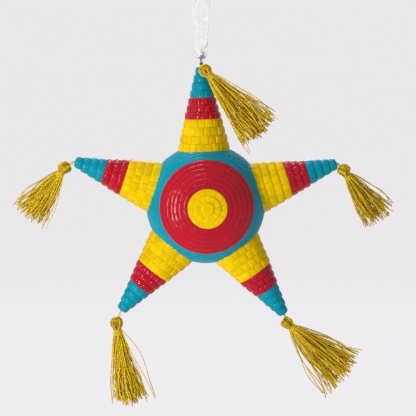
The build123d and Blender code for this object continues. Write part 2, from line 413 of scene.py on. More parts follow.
def painted(name, colour, roughness, shine):
    """Moulded plastic under a coat of paint: slight mottling, painted light that makes proud bricks
    lighter, an orange-peel skin and tiny pits.
    """
    n = Nodes(name)
    tint = n.add("ShaderNodeAttribute", attribute_name="tint").outputs["Fac"]
    mottle = n.noise(160.0)
    # The vertices' tint brings in the bricks' painted light: bricks that stand out come out
    # lighter.
    mixed = n.math("ADD", n.math("MULTIPLY", mottle, 0.55), n.math("MULTIPLY", tint, 0.45))
    paint = n.ramp(mixed, (0.3, shade(colour, 0.86)), (0.7, shade(colour, 1.1)))
    n.link(paint, n.shader.inputs["Base Color"])
    rough = n.ramp(n.noise(420.0), (0.3, grey(roughness - 0.06)), (0.7, grey(roughness + 0.08)))
    n.link(rough, n.shader.inputs["Roughness"])
    peel = n.bump(n.noise(900.0, 2.0), 0.25, 0.04 * MM)
    n.link(n.bump(n.noise(3200.0, 4.0, 0.7), 0.2, 0.02 * MM, peel), n.shader.inputs["Normal"])
    n.set(Specular_IOR_Level=shine)
    return n.material


def metallic_thread(name, shadow, dark, light):
    """Gold lurex: a fine twist along each thread, and each thread a little lighter or darker."""
    n = Nodes(name)
    uv = n.add("ShaderNodeTexCoord").outputs["UV"]
    parts = n.add("ShaderNodeSeparateXYZ")
    n.link(uv, parts.inputs[0])
    turns = n.math("ADD", n.math("MULTIPLY", parts.outputs[0], 1.6), parts.outputs[1])
    ply = n.math("SINE", n.math("MULTIPLY", turns, TAU), 0.0)
    ply = n.math("ADD", n.math("MULTIPLY", ply, 0.5), 0.5)
    tint = n.add("ShaderNodeAttribute", attribute_name="tint").outputs["Fac"]
    fleck = n.noise(700.0, 2.0)
    mixed = n.math("ADD", n.math("MULTIPLY", tint, 0.6), n.math("MULTIPLY", fleck, 0.3))
    mixed = n.math("ADD", mixed, n.math("MULTIPLY", ply, 0.1))
    gold = n.ramp(mixed, (0.18, shadow), (0.36, dark), (0.78, light))
    n.link(gold, n.shader.inputs["Base Color"])
    n.link(n.bump(ply, 0.25, 0.05 * MM), n.shader.inputs["Normal"])
    n.set(Metallic=0.25, Roughness=0.5, Specular_IOR_Level=0.15)
    return n.material


def woven_ribbon(name, colour):
    """White organza: a fine plain weave, slightly clouded."""
    n = Nodes(name)
    uv = n.add("ShaderNodeTexCoord").outputs["UV"]
    parts = n.add("ShaderNodeSeparateXYZ")
    n.link(uv, parts.inputs[0])
    warp = n.math("SINE", n.math("MULTIPLY", parts.outputs[0], TAU * 3.0), 0.0)
    weft = n.math("SINE", n.math("MULTIPLY", parts.outputs[1], TAU * 3.0), 0.0)
    weave = n.math("MULTIPLY", warp, weft)
    cloud = n.noise(500.0, 3.0)
    look = n.math("ADD", n.math("MULTIPLY", weave, 0.1), cloud)
    n.link(n.ramp(look, (0.3, shade(colour, 0.88)), (0.65, colour)), n.shader.inputs["Base Color"])
    n.link(n.bump(weave, 0.15, 0.04 * MM), n.shader.inputs["Normal"])
    n.set(Roughness=0.6, Sheen_Weight=0.2, Sheen_Roughness=0.4)
    return n.material


def wire(name):
    """Drawn steel wire, slightly clouded and finely scratched."""
    n = Nodes(name)
    steel = n.ramp(n.noise(600.0), (0.3, (0.2, 0.2, 0.21, 1)), (0.7, (0.34, 0.34, 0.35, 1)))
    n.link(steel, n.shader.inputs["Base Color"])
    n.link(n.bump(n.noise(4000.0, 2.0), 0.3, 0.01 * MM), n.shader.inputs["Normal"])
    n.set(Metallic=1.0, Roughness=0.3)
    return n.material


TEAL = painted("teal_paint", linear(0, 151, 174), roughness=0.24, shine=0.1)
RED = painted("red_paint", linear(192, 0, 36), roughness=0.13, shine=0.22)
YELLOW = painted("yellow_paint", linear(244, 204, 0), roughness=0.42, shine=0.05)
GOLD = metallic_thread("gold_lurex", shadow=linear(126, 94, 2), dark=linear(192, 154, 8),
                       light=linear(240, 208, 44))
WHITE = woven_ribbon("white_organza", linear(253, 253, 253))
STEEL = wire("steel_wire")

# ---- ball
RING_STEP = 0.6 * MM        # how much lower a ring starts than it ends
CORE_DEPTH = 1.9 * MM       # from a ring's face to its cut-off inside
UNDERLAP = 0.25 * MM        # how far a ring starts under its higher neighbour
ON_AXIS = 0.01 * MM         # the radius of an outline's ends, as good as on the axis
SHELL_RINGS = 7             # from the dish to the seam round the middle
DISH_RINGS = 6
BUTTON_RINGS = 2            # round the nub, which is as wide as one ring more
BALL_SEEDS = {"front": 11, "back": 12}

SHELL_BRICKS = Bricks(length=5.2, joint_depth=0.08, joint_round=0.5, edge_depth=0.6,
                      inner_round=0.7, outer_round=1.3, crown=0.1, uneven=0.05)
DISH_BRICKS = Bricks(length=4.6, joint_depth=0.17, joint_round=0.36, edge_depth=0.5,
                     inner_round=0.4, outer_round=1.15, crown=0.08, uneven=0.05)
BUTTON_BRICKS = Bricks(length=2.7, joint_depth=0.14, joint_round=0.4, edge_depth=0.24,
                       inner_round=0.4, outer_round=0.6, crown=0.05, uneven=0.06)


def on_ball(radius, angle):
    """(level, radius) on a ball of that radius, at a polar angle."""
    return np.array([radius * math.cos(angle), radius * math.sin(angle)])


def ball_rings(shape, turning, first_angle, last_angle, rings, look, dice):
    """Rings of bricks between two polar angles, each a step prouder at its outer end."""
    pitch = (last_angle - first_angle) / rings
    for ring in range(rings):
        start = on_ball(ball_radius - RING_STEP, first_angle + ring * pitch)
        end = on_ball(ball_radius, first_angle + (ring + 1) * pitch)
        way = (end - start) / np.linalg.norm(end - start)
        count = round(TAU * end[1] / look.length)
        brick_ring(shape, turning, start - way * UNDERLAP, end, look, count, CORE_DEPTH, dice,
                   dice.random(), above=start + end)


def ball_half(side, facing):
    """One half of the ball: its shell, dish and button. facing is -1 for the front."""
    turning = Turning(ball_centre, (0, facing, 0), (0, 0, 1))
    dice = np.random.default_rng(BALL_SEEDS[side])

    shell = Shape()
    ball_rings(shell, turning, dish_angle, math.pi / 2, SHELL_RINGS, SHELL_BRICKS, dice)
    shell.piece(f"{side}_shell_bricks", TEAL, "star", [f"{side}_shell"])

    dish = Shape()
    ball_rings(dish, turning, button_angle, dish_angle, DISH_RINGS, DISH_BRICKS, dice)
    dish.piece(f"{side}_dish_bricks", RED, "star", [f"{side}_dish"])

    button = Shape()
    nub_angle = button_angle / (BUTTON_RINGS + 1)
    ball_rings(button, turning, nub_angle, button_angle, BUTTON_RINGS, BUTTON_BRICKS, dice)
    nub = on_ball(ball_radius, nub_angle)
    lathe(button, turning, [
        (nub[0] - CORE_DEPTH, ON_AXIS),
        (nub[0] - CORE_DEPTH, nub[1]),
        (nub[0] - 0.25 * MM, nub[1]),
        (nub[0] - 0.05 * MM, nub[1] - 0.08 * MM),
        (nub[0] + 0.07 * MM, nub[1] - 0.3 * MM),
        (ball_radius - 0.03 * MM, nub[1] * 0.6),
        (ball_radius, nub[1] * 0.3),
        (ball_radius, nub[1] * 0.03),
        (ball_radius, ON_AXIS),
    ])
    button.piece(f"{side}_button_bricks", YELLOW, "star", [f"{side}_button"])


ball_half("front", -1)
ball_half("back", 1)

# ---- points
COLLAR_BRICKS = Bricks(length=3.2, joint_depth=0.34, joint_round=0.55, edge_depth=0.5,
                       inner_round=0.65, outer_round=1.0, crown=0.14, uneven=0.13)
BAND_BRICKS = Bricks(length=3.1, joint_depth=0.34, joint_round=0.6, edge_depth=0.46,
                     inner_round=0.65, outer_round=1.2, crown=0.2, uneven=0.12)
CAP_BRICKS = Bricks(length=3.2, joint_depth=0.12, joint_round=0.7, edge_depth=0.42,
                    inner_round=0.7, outer_round=1.6, crown=0.12, uneven=0.09)
TIP_BRICKS = Bricks(length=3.2, joint_depth=0.08, joint_round=0.7, edge_depth=0.95,
                    inner_round=0.6, outer_round=1.7, crown=0.05, uneven=0.04)

COLLAR_ROWS, BAND_ROWS, CAP_ROWS = 4, 3, 4
ROW_SLOPE = 0.22            # how far a row leans towards the tip, of the step between rows
COLLAR_SUNK = 1.6 * MM      # how much further into the ball the collar starts than its rows need
COLLAR_UNDERLAP = 2.5 * MM  # and how far its first row goes on below that
FEWEST_BRICKS = 5           # in a row
LEAST_HOLLOW = 0.3 * MM     # radius left inside a row's first end
SHIFT_STRAY = 0.08          # of a brick, beside the half brick from row to row
TIP_HOLE = 0.5 * MM         # radius of the thread's hole
POINT_SEED = 21


def point_turning(name):
    """The axis of a point, from the ball's centre out through its tip."""
    on_axis = eye_top if name == "top" else joint_place(f"{name}_thread_swing")
    return Turning(ball_centre, on_axis - ball_centre, (0, -1, 0))


def levels(node, turning):
    """Where a node starts and ends along an axis."""
    along = (node_points(node) - turning.origin) @ turning.along
    return along.min(), along.max()


def half_depth(node):
    """A node's radius, from its size from front to back."""
    low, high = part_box(node)
    return (high.y - low.y) / 2


def star_point(name, seed):
    """One point of the star: collar, band and cap, row by row. The joints of each row lie about
    half a brick round from those of the row before."""
    turning = point_turning(name)
    dice = np.random.default_rng(seed)
    collar_end = levels(f"{name}_collar", turning)[1]
    band_end = levels(f"{name}_band", turning)[1]
    tip = levels(f"{name}_cap", turning)[1]
    row_step = (half_depth(f"{name}_collar") - half_depth(f"{name}_band")) / COLLAR_ROWS
    radius = half_depth(f"{name}_collar")
    collar_length = COLLAR_ROWS * (band_end - collar_end) / BAND_ROWS
    collar_start = collar_end - collar_length - COLLAR_SUNK
    parts = (
        ("collar", YELLOW, "yellow_plastic", COLLAR_BRICKS, COLLAR_ROWS, collar_start, collar_end),
        ("band", RED, "red_plastic", BAND_BRICKS, BAND_ROWS, collar_end, band_end),
        ("cap", TEAL, "teal_plastic", CAP_BRICKS, CAP_ROWS, band_end, tip),
    )
    shift = 0.0
    for part, material, slot, look, rows, start, end in parts:
        shape = Shape()
        pitch = (end - start) / rows
        for row in range(rows):
            count = max(FEWEST_BRICKS, round(TAU * radius / look.length))
            level = start + row * pitch
            last = part == "cap" and row == rows - 1
            depth = min(CORE_DEPTH, radius - LEAST_HOLLOW)
            row_look = TIP_BRICKS if last else look
            underlap = UNDERLAP if row or part != "collar" else COLLAR_UNDERLAP
            slope = ROW_SLOPE * row_step
            brick_ring(shape, turning, (level - underlap, radius + slope),
                       (level + pitch, radius - slope), row_look, count, depth, dice, shift)
            shift += 0.5 + dice.uniform(-SHIFT_STRAY, SHIFT_STRAY)
            radius -= row_step
        if part == "cap":
            blunt_end(shape, turning, tip, radius + row_step)
        shape.piece(f"{name}_{part}_bricks", material, "star", [f"{name}_{part}"])


def blunt_end(shape, turning, tip, radius):
    """Closes a cap's end round the hole for its thread."""
    lathe(shape, turning, [
        (tip - 1.6 * MM, TIP_HOLE),
        (tip - 1.6 * MM, radius - 0.9 * MM),
        (tip - 0.5 * MM, radius - 0.85 * MM),
        (tip - 0.2 * MM, radius - 1.1 * MM),
        (tip, radius - 1.5 * MM),
        (tip - 0.02 * MM, TIP_HOLE + 0.12 * MM),
        (tip - 0.12 * MM, TIP_HOLE),
    ], segments=48)


for index, point in enumerate(POINTS):
    star_point(point, POINT_SEED + index)

eye = frame["nodes"]["hanger_eye"]
eye.data.materials.clear()
eye.data.materials.append(STEEL)

# ---- tassels
THREAD = 0.215 * MM         # radius of one gold thread
NECK_RADIUS = 1.2 * MM
HEAD_THREADS = 20           # times breadth and a half more
CORE_REACH = 2.45           # radians that a head's core goes round its hole, each side of its top
HEAD_REACH = 2.55           # and its threads
GATHER_FROM = 1.45          # radians from the top where they start to gather to the neck
GATHER_OVER = 1.1           # radians, until they have
CORE_SHADE, LIGHT = 0.12, 0.7     # tints of the tassels' cores, painted dark as the shade inside them, and of their bindings
GOLDEN_ANGLE = 2.399963     # radians between one thread of a skirt and the next
TASSEL_SEED = 41
# How each head's hole is turned about the tassel's line, in degrees, the hole's radius, the
# head's stretch along the tassel, and its breadth along the hole
HEADS = {
    "top": (0, 0.14 * MM, 1.0, 1.12),
    "right": (64, 0.2 * MM, 0.9, 1.75),
    "lower_right": (82, 0.2 * MM, 0.86, 1.85),
    "lower_left": (8, 0.34 * MM, 1.12, 1.12),
    "left": (118, 0.2 * MM, 0.9, 1.75),
}
# Threads in each skirt, how much longer than its solid they hang, how much they sag and how far
# their ends lean to one side
SKIRTS = {
    "top": (125, 4.6 * MM, 0.5 * MM, 0.8 * MM),
    "right": (105, 1.6 * MM, 0.7 * MM, 1.1 * MM),
    "lower_right": (135, 1.4 * MM, 3.4 * MM, 1.0 * MM),
    "lower_left": (120, 5.2 * MM, 0.0, 0.9 * MM),
    "left": (105, 1.2 * MM, 0.8 * MM, 0.0),
}
# Threads that stray: how far past the skirt's side they end and how far they bow, both in
# millimetres, and their share of the skirt's length
STRAYS = {
    "top": ((1.8, 1.0, 0.95), (0.9, 0.8, 0.9), (-1.2, -0.6, 1.04), (-0.4, -0.8, 1.0)),
    "right": ((0.8, 0.2, 0.96), (0.4, 0.4, 0.88), (-0.6, -0.4, 0.94)),
    "lower_right": ((-1.6, -2.4, 0.92), (-2.2, -1.6, 0.86), (-1.2, -2.0, 0.9), (-1.0, -1.2, 0.94),
                    (0.6, 0.4, 1.0), (0.2, 0.8, 0.92)),
    "lower_left": ((2.6, 1.4, 0.9), (2.0, 1.2, 0.93), (1.2, 1.0, 0.86), (0.6, 0.9, 0.96),
                   (-0.3, -0.7, 0.9)),
    "left": ((-1.8, -0.2, 1.02), (-0.8, -0.5, 0.96), (0.8, 0.4, 0.95), (0.2, 0.6, 1.0)),
}


class Tassel:
    """A tassel's places, from its CAD pieces and joints."""

    def __init__(self, name):
        low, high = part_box(f"{name}_tassel_head")
        skirt = node_points(f"{name}_tassel_skirt")
        binding = node_points(f"{name}_tassel_binding").mean(0)
        self.name = name
        self.body = f"{name}_tassel"
        self.pivot = joint_place(f"{name}_thread_swing")
        self.head_pivot = joint_place(f"{name}_tassel_tilt")
        self.across = unit(JOINTS[f"{name}_tassel_tilt"]["axis"])
        way = self.pivot - self.head_pivot
        self.radius = max(high - low) / 2
        self.middle = self.head_pivot - unit(way) * (self.radius - 0.3 * MM)
        self.down = unit(binding - self.middle)
        self.across = unit(self.across - self.down * np.dot(self.across, self.down))
        self.deep = np.cross(self.down, self.across)
        along = (skirt - self.middle) @ self.down
        self.neck = along.min()
        self.end = along.max()
        at_end = skirt[along > self.end - 0.5 * MM] - self.middle
        self.half_width = np.abs(at_end @ self.across).max()
        self.half_depth = np.abs(at_end @ self.deep).max()

    def at(self, across, deep, down):
        """A place given across the skirt, through it and down it, from the head's middle."""
        return self.middle + self.across * across + self.deep * deep + self.down * down


def squared(value):
    """A cosine or sine that makes a slightly squared circle."""
    return abs(value) ** 0.8 * np.sign(value)


def tassel_head(tassel, dice):
    """The bundle folded over round a small hole, thread by thread, on a core painted dark as the
    shade under the threads.
    """
    shape = Shape()
    turn, hole_radius, stretch, breadth = HEADS[tassel.name]
    turn = math.radians(turn)
    out = tassel.across * math.cos(turn) + tassel.deep * math.sin(turn)
    hole = np.cross(tassel.down, out)
    reach = tassel.radius + 0.15 * MM - THREAD
    ring = (reach + hole_radius) / 2
    thick = (reach - hole_radius) / 2

    def spot(angle, radius, depth):
        across = math.sin(angle) * radius
        along = -math.cos(angle) * radius * stretch
        return tassel.middle + out * across + tassel.down * along + hole * depth

    # Painted shade: the core under the threads is tinted dark.
    core = [spot(a, ring, 0) for a in np.linspace(-CORE_REACH, CORE_REACH, 30)]
    tube(shape, core, thick - 0.2 * MM, sides=16, tint=CORE_SHADE)
    # Painted shade: a plug tinted darkest fills the hole, as the shade in it.
    plug = [tassel.middle + hole * depth * MM for depth in (-0.75, -0.25, 0.25, 0.75)]
    tube(shape, plug, hole_radius + 0.75 * MM, sides=12, tint=0.0)
    count = round(HEAD_THREADS * (breadth + 0.5))
    for k in range(count):
        lay = TAU * k / count + dice.uniform(-0.08, 0.08)
        radius = ring + thick * squared(math.cos(lay)) + dice.uniform(-0.06, 0.06) * MM
        depth = thick * breadth * squared(math.sin(lay))
        if radius < hole_radius:
            continue
        wander = dice.uniform(-0.14, 0.14, (12, 2)) * MM
        points = []
        for a, (off, deep) in zip(np.linspace(-HEAD_REACH, HEAD_REACH, 12), wander):
            close = min(1.0, max(0.0, abs(a) - GATHER_FROM) / GATHER_OVER)
            base = spot(a, radius + off, depth + deep)
            side = 1 if a > 0 else -1
            neck = (tassel.middle + tassel.down * (tassel.neck + 0.3 * MM)
                    + out * side * abs(math.cos(lay)) * NECK_RADIUS * 0.85
                    + hole * math.sin(lay) * NECK_RADIUS)
            blend = smooth_step(close)
            points.append(base * (1 - blend) + neck * blend)
        tube(shape, smooth_path(points, 36), THREAD * dice.uniform(0.85, 1.2),
             tint=dice.uniform(0.0, 1.0))
    shape.piece(f"{tassel.name}_head_threads", GOLD, tassel.body,
                [f"{tassel.name}_tassel_head"])


def tassel_binding(tassel, dice):
    """Thread wound round the neck."""
    shape = Shape()
    turns, steps = 6, 20
    points = []
    start = tassel.neck + 0.25 * MM
    for k in range(turns * steps + 1):
        angle = TAU * k / steps
        radius = NECK_RADIUS + THREAD * 1.35 + dice.uniform(-0.02, 0.02) * MM
        points.append(tassel.at(radius * math.cos(angle), radius * math.sin(angle),
                                start + THREAD * 1.75 * k / steps))
    tube(shape, points, THREAD * 0.95, tint=LIGHT)
    shape.piece(f"{tassel.name}_neck_binding", GOLD, tassel.body,
                [f"{tassel.name}_tassel_binding"])


def strand_path(tassel, dice, around, share, length, stray=None):
    """One thread of a skirt, from the neck to its loose end."""
    wide = tassel.half_width * share
    deep = tassel.half_depth * share
    neck = NECK_RADIUS * share * 0.92
    _, _, sag, lean = SKIRTS[tassel.name]
    sag *= dice.uniform(0.2, 1.3)
    phase = dice.uniform(0, TAU, 2)
    wave = dice.uniform(0.25, 1.0, 2) * MM
    bend = dice.normal(0, 0.7, 2) * MM
    fray = dice.normal(0, 1.0, 2) * MM
    open_late = dice.uniform(0.75, 1.3)
    end, bow = (stray[0] * MM, stray[1] * MM) if stray else (0.0, 0.0)
    points = []
    for f in np.linspace(0, 1, 10):
        spread = f ** open_late
        across = (neck + (wide - neck) * spread) * math.cos(around)
        depth = (neck + (deep - neck) * spread) * math.sin(around)
        arch = math.sin(math.pi * f)
        across += wave[0] * math.sin(phase[0] + f * 8.0) * f + bend[0] * arch + fray[0] * f ** 3
        depth += wave[1] * math.sin(phase[1] + f * 6.5) * f + bend[1] * arch + fray[1] * f ** 3
        across += bow * math.sin(math.pi * f ** 0.9) + end * f ** 1.5 + lean * f * f
        spot = tassel.at(across, depth, tassel.neck + (length - tassel.neck) * f)
        spot[2] -= sag * f * f
        points.append(spot)
    return smooth_path(points, 19)


def tassel_skirt(tassel, dice):
    """Loose threads of uneven length, a few of them astray."""
    shape = Shape()
    count, longer, _, _ = SKIRTS[tassel.name]
    # Painted shade: a core tinted dark, as the shade inside the skirt.
    core_end = tassel.neck + (tassel.end - tassel.neck) * 0.3
    core = [tassel.at(0, 0, tassel.neck + (core_end - tassel.neck) * f)
            for f in np.linspace(0, 1, 8)]
    tube(shape, core, np.linspace(NECK_RADIUS * 0.9, 0.2 * MM, 8), sides=14, tint=CORE_SHADE)
    for k in range(count):
        share = math.sqrt((k + 0.5) / count)
        around = k * GOLDEN_ANGLE + dice.uniform(-0.3, 0.3)
        length = tassel.end + longer * (1 - 0.75 * share) - abs(dice.normal(0, 1.3)) * MM
        path = strand_path(tassel, dice, around, share * dice.uniform(0.9, 1.02), length)
        tube(shape, path, THREAD * dice.uniform(0.85, 1.15), sides=5, tint=dice.uniform(0.25, 0.95))
    for stray in STRAYS[tassel.name]:
        around = dice.uniform(-0.4, 0.4) + (0 if stray[0] > 0 else math.pi)
        length = tassel.neck + (tassel.end + longer - tassel.neck) * stray[2]
        path = strand_path(tassel, dice, around, 0.97, length, stray)
        tube(shape, path, THREAD * 0.85, sides=5, tint=dice.uniform(0.5, 1.0))
    shape.piece(f"{tassel.name}_skirt_threads", GOLD, tassel.body,
                [f"{tassel.name}_tassel_skirt"])


def hang_thread(tassel):
    """A loop of two threads from the tip to the head."""
    shape = Shape()
    way = unit(tassel.head_pivot - tassel.pivot)
    side = unit(np.cross(way, (0.2, 1, 0.1)))
    start = tassel.pivot + way * 0.25 * MM
    end = tassel.head_pivot + way * 0.1 * MM
    span = end - start
    gap = 0.3 * MM
    for aside in (side, -side):
        points = [start, start + span * 0.3 + aside * gap, start + span * 0.7 + aside * gap,
                  end + aside * 0.1 * MM]
        tube(shape, smooth_path(points, 14), THREAD, tint=0.75)
    shape.piece(f"{tassel.name}_hang_loop", GOLD, f"{tassel.name}_thread",
                [f"{tassel.name}_hang_thread"])


def random_circle(dice, centre, radius, count):
    """A circle that lies some random way, one thread of a knot."""
    first = unit(dice.normal(size=3))
    second = unit(np.cross(first, dice.normal(size=3)))
    return circle(centre, first, second, radius, count)


def thread_anchor(tassel, dice):
    """The loop's root: on the top point two turns round the eye's wire, and elsewhere a twist
    that comes out of the tip's hole, from a knot inside. Both have a small bead of thread where
    the loop starts."""
    shape = Shape()
    if tassel.name == "top":
        low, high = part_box("top_thread_anchor")
        middle = np.array((low + high) / 2)
        out = unit(tassel.pivot - middle)
        up = unit(np.cross(out, (1, 0, 0)))
        for turn in (-1, 1):
            centre = tassel.pivot - out * 1.02 * MM + up * turn * THREAD * 0.9
            points = circle(centre, out, np.array([1.0, 0.0, 0.0]), 0.68 * MM, 25)
            tube(shape, points, THREAD * 0.85, tint=0.6)
    else:
        inward = unit(ball_centre - tassel.pivot)
        side = unit(np.cross(inward, (0, 1, 0)))
        for turn in (0, math.pi):
            points = []
            for f in np.linspace(0, 1, 16):
                a = turn + f * 7
                points.append(tassel.pivot + inward * f * 6.0 * MM
                              + (side * math.cos(a) + np.array([0, math.sin(a), 0])) * 0.16 * MM)
            tube(shape, points, THREAD * 0.9, tint=0.6)
        for _ in range(7):
            ring = random_circle(dice, tassel.pivot + inward * 6.4 * MM, 0.6 * MM, 17)
            tube(shape, ring, THREAD, tint=0.5)
    for _ in range(3):
        ring = random_circle(dice, tassel.pivot, 0.2 * MM, 15)
        tube(shape, ring, THREAD * 0.8, tint=0.6)
    shape.piece(f"{tassel.name}_thread_root", GOLD, "star",
                [f"{tassel.name}_thread_anchor"])


for index, point in enumerate(POINTS):
    thread_dice = np.random.default_rng(TASSEL_SEED + index)
    hung = Tassel(point)
    tassel_head(hung, thread_dice)
    tassel_binding(hung, thread_dice)
    tassel_skirt(hung, thread_dice)
    hang_thread(hung)
    thread_anchor(hung, thread_dice)

# ---- ribbon
RIBBON_WIDTH = 7.0 * MM
RIBBON_THICKNESS = 0.18 * MM
RIBBON_ALONG, RIBBON_ACROSS = 420, 31
SELVAGE_FROM = 0.88         # of the half width
SELVAGE_THICKER = 1.6
CUP_SHARE = 0.45            # of the half width: over this much the inner half rises
PLEAT_TURN = 9.5            # radians of pleat in the half width
PLEAT_START = 0.6           # radians, at the middle
# Front ply from the knot down to the eye, in millimetres; the back ply is its mirror image.
FRONT_ROUTE = (
    (0.0, -0.5, 0.15),
    (0.0, -3.2, 0.1),
    (0.0, -6.2, -2.2),
    (0.0, -6.75, -7.0),
    (0.0, -6.2, -14.0),
    (0.0, -4.6, -26.0),
    (0.0, -2.7, -35.5),
    (-0.2, -1.5, -41.0),
    (-0.9, -0.8, -45.5),
    (-1.3, -0.2, -48.4),
    (-1.2, 0.0, -50.2),
    (-0.8, 0.0, -51.05),
)


def ribbon_centreline():
    """Points along the ribbon's NURBS spline, knot to knot."""
    front = [Vector(p) * MM for p in FRONT_ROUTE]
    back = [Vector((-p.x, -p.y, p.z)) for p in reversed(front)]
    curve = bpy.data.curves.new("ribbon_route", "CURVE")
    curve.dimensions = "3D"
    curve.resolution_u = 16
    spline = curve.splines.new("NURBS")
    route = front + back
    spline.points.add(len(route) - 1)
    for point, place in zip(spline.points, route):
        point.co = (*place, 1)
    spline.order_u = 3
    spline.use_endpoint_u = True
    holder = bpy.data.objects.new("ribbon_route", curve)
    mesh = bpy.data.meshes.new_from_object(holder)
    line = np.array([v.co for v in mesh.vertices])
    bpy.data.objects.remove(holder)
    bpy.data.curves.remove(curve)
    bpy.data.meshes.remove(mesh)
    return line


def resample(line, count):
    """The line with that many evenly spaced points, and its length."""
    reach = distance_along(line)
    spaced = np.linspace(0, reach[-1], count)
    return np.stack([np.interp(spaced, reach, line[:, k]) for k in range(3)], 1), reach[-1]


def ribbon_strip(shape, line, inner, outer, pleat, cup=0.0):
    """A flat woven strip along a line. For each point of the line, inner and outer say how far
    the strip goes to each side, pleat how deep its pleats are, and cup how far the edge of its
    inner half stands off the line."""
    count = len(line)
    tangent = np.gradient(line, axis=0)
    tangent /= np.linalg.norm(tangent, axis=1)[:, None]
    wide = np.cross([0.0, 1.0, 0.0], tangent)
    wide /= np.linalg.norm(wide, axis=1)[:, None]
    face = np.cross(tangent, wide)
    v = np.linspace(-1, 1, RIBBON_ACROSS)
    reach = distance_along(line) / MM
    spread = -inner[:, None] + (inner + outer)[:, None] * (v[None, :] + 1) / 2
    rise = smooth_step(np.clip(-v / CUP_SHARE, 0, 1))
    folds = np.sin(v[None, :] * PLEAT_TURN + PLEAT_START) * pleat[:, None]
    folds = folds + rise[None, :] * np.broadcast_to(cup, (count,))[:, None]
    thickness = RIBBON_THICKNESS * np.where(np.abs(v) > SELVAGE_FROM, SELVAGE_THICKER, 1.0)
    sides = []
    for sign in (1, -1):
        lift = folds + sign * thickness[None, :] / 2
        sides.append(line[:, None, :] + wide[:, None, :] * spread[..., None]
                     + face[:, None, :] * lift[..., None])
    points = np.concatenate([sides[0], sides[1][:, ::-1]], 1)
    flat_v = np.concatenate([v, v[::-1]]) * RIBBON_WIDTH / 2 / MM
    uvs = np.stack(np.broadcast_arrays(reach[:, None], flat_v[None, :]), -1)
    columns = 2 * RIBBON_ACROSS
    faces = loop_faces(count, columns)
    ends = []
    for row in (0, count - 1):
        for k in range(RIBBON_ACROSS - 1):
            quad = (row * columns + k, row * columns + k + 1,
                    row * columns + columns - 2 - k, row * columns + columns - 1 - k)
            ends.append(quad if row == 0 else quad[::-1])
    shape.add(points, np.vstack([faces, ends]), uvs)


# In millimetres: the distance along the ribbon from the middle of its turn through the eye, how
# far it goes to its outer and its inner side, its pleats, and how far its inner half stands off
# the eye
RIBBON_FORM = (
    (0.0, 0.25, 0.45, 0.4, 0.0),
    (0.8, 0.35, 0.5, 0.4, 0.0),
    (1.3, 0.8, 0.9, 0.25, 0.4),
    (1.8, 1.15, 1.7, 0.08, 0.9),
    (2.6, 1.3, 1.7, 0.04, 0.8),
    (3.4, 1.35, 1.5, 0.04, 0.5),
    (3.8, 1.35, 0.9, 0.04, 0.2),
    (4.4, 1.4, 0.85, 0.04, 0.15),
    (5.0, 1.5, 1.6, 0.03, 0.1),
    (6.2, 1.65, 3.0, 0.02, 0.0),
    (8.0, 1.9, 3.0, 0.02, 0.0),
    (12.0, 2.65, 2.95, 0.02, 0.0),
    (27.0, 3.5, 3.5, 0.0, 0.0),
)


def hanging_ribbon():
    """The loop, from its knot down through the eye and back up."""
    line, length = resample(ribbon_centreline(), RIBBON_ALONG)
    along = np.linspace(-length / 2, length / 2, len(line)) / MM
    form = np.array(RIBBON_FORM)
    outer, inner, pleat, cup = (
        np.interp(np.abs(along), form[:, 0], form[:, k]) * MM for k in range(1, 5))
    shape = Shape()
    ribbon_strip(shape, line, inner, outer, pleat, np.where(along < 0, -cup, cup))
    made = shape.piece("hanging_ribbon", WHITE, "ribbon", ["ribbon"])
    return made, line, length


TAIL_POINTS = 40
KNOT_AROUND, KNOT_ACROSS = 40, 9


def ribbon_knot():
    """An overhand knot on top of the loop, two wraps one over the other, with two tails."""
    shape = Shape()
    for side in (-1, 1):
        tail = smooth_path([
            (0, 0.2 * side, 0.6), (0, 0.7 * side, 3.2), (0.4 * side, 2.2 * side, 6.5),
            (0.8 * side, 4.4 * side, 10.5), (0.6 * side, 6.2 * side, 14.0),
        ], TAIL_POINTS) * MM
        share = np.linspace(0, 1, TAIL_POINTS)
        width = np.interp(share, [0, 0.15, 0.45, 1], [1.5, 1.6, 2.7, 3.1]) * MM
        pleat = np.interp(share, [0, 0.5, 1], [0.25, 0.12, 0.02]) * MM
        ribbon_strip(shape, tail, width, width, pleat)
    angles = np.linspace(0, TAU, KNOT_AROUND + 1)[:-1]
    up = np.array([0, 0, 1])
    for level, tilt, half in ((1.5, 0.25, 0.95), (2.5, -0.3, 0.85)):
        height = level + tilt * np.cos(angles)
        loop = np.stack([2.1 * np.cos(angles), 1.35 * np.sin(angles), height], 1) * MM
        rows = []
        for spot in loop:
            outward = unit(np.array([spot[0], spot[1] * 1.6, 0]))
            row = []
            for v in np.linspace(-1, 1, KNOT_ACROSS):
                bulge = (1 - v * v) * 0.35 * MM
                row.append(spot + up * v * half * MM + outward * bulge)
            for v in np.linspace(1, -1, KNOT_ACROSS):
                row.append(spot + up * v * half * 0.8 * MM - outward * 0.3 * MM)
            rows.append(row)
        uvs = np.stack(np.broadcast_arrays(np.arange(KNOT_AROUND)[:, None] * 0.27,
                                           np.linspace(-2, 2, 2 * KNOT_ACROSS)[None, :]), -1)
        shape.add(rows, loop_faces(KNOT_AROUND, 2 * KNOT_ACROSS, close_rows=True), uvs)
    return shape.piece("ribbon_top_knot", WHITE, "ribbon", ["ribbon_knot"])


ribbon, ribbon_line, ribbon_length = hanging_ribbon()
knot = ribbon_knot()

# ---- room, lights and camera
BACKGROUND = linear(240, 238, 240)
PALE_SHARE = 0.9            # of the floor's colour that doesn't depend on the lamps
AMBIENT = 0.36              # the world's strength on the object
FLOOR_DROP = 0.07           # from the lowest tassel's solid, in metres
FLOOR_SIZE = 8.0
PICTURE_WIDTH = 0.1664      # what the frame spans at the ball, in metres
AIM_RIGHT = 0.92 * MM       # of the ball's centre, in the picture
AIM_UP = -1.8 * MM
CAMERA_DISTANCE = 0.80
CLIP_START = 0.01
SENSOR = 36.0               # in millimetres


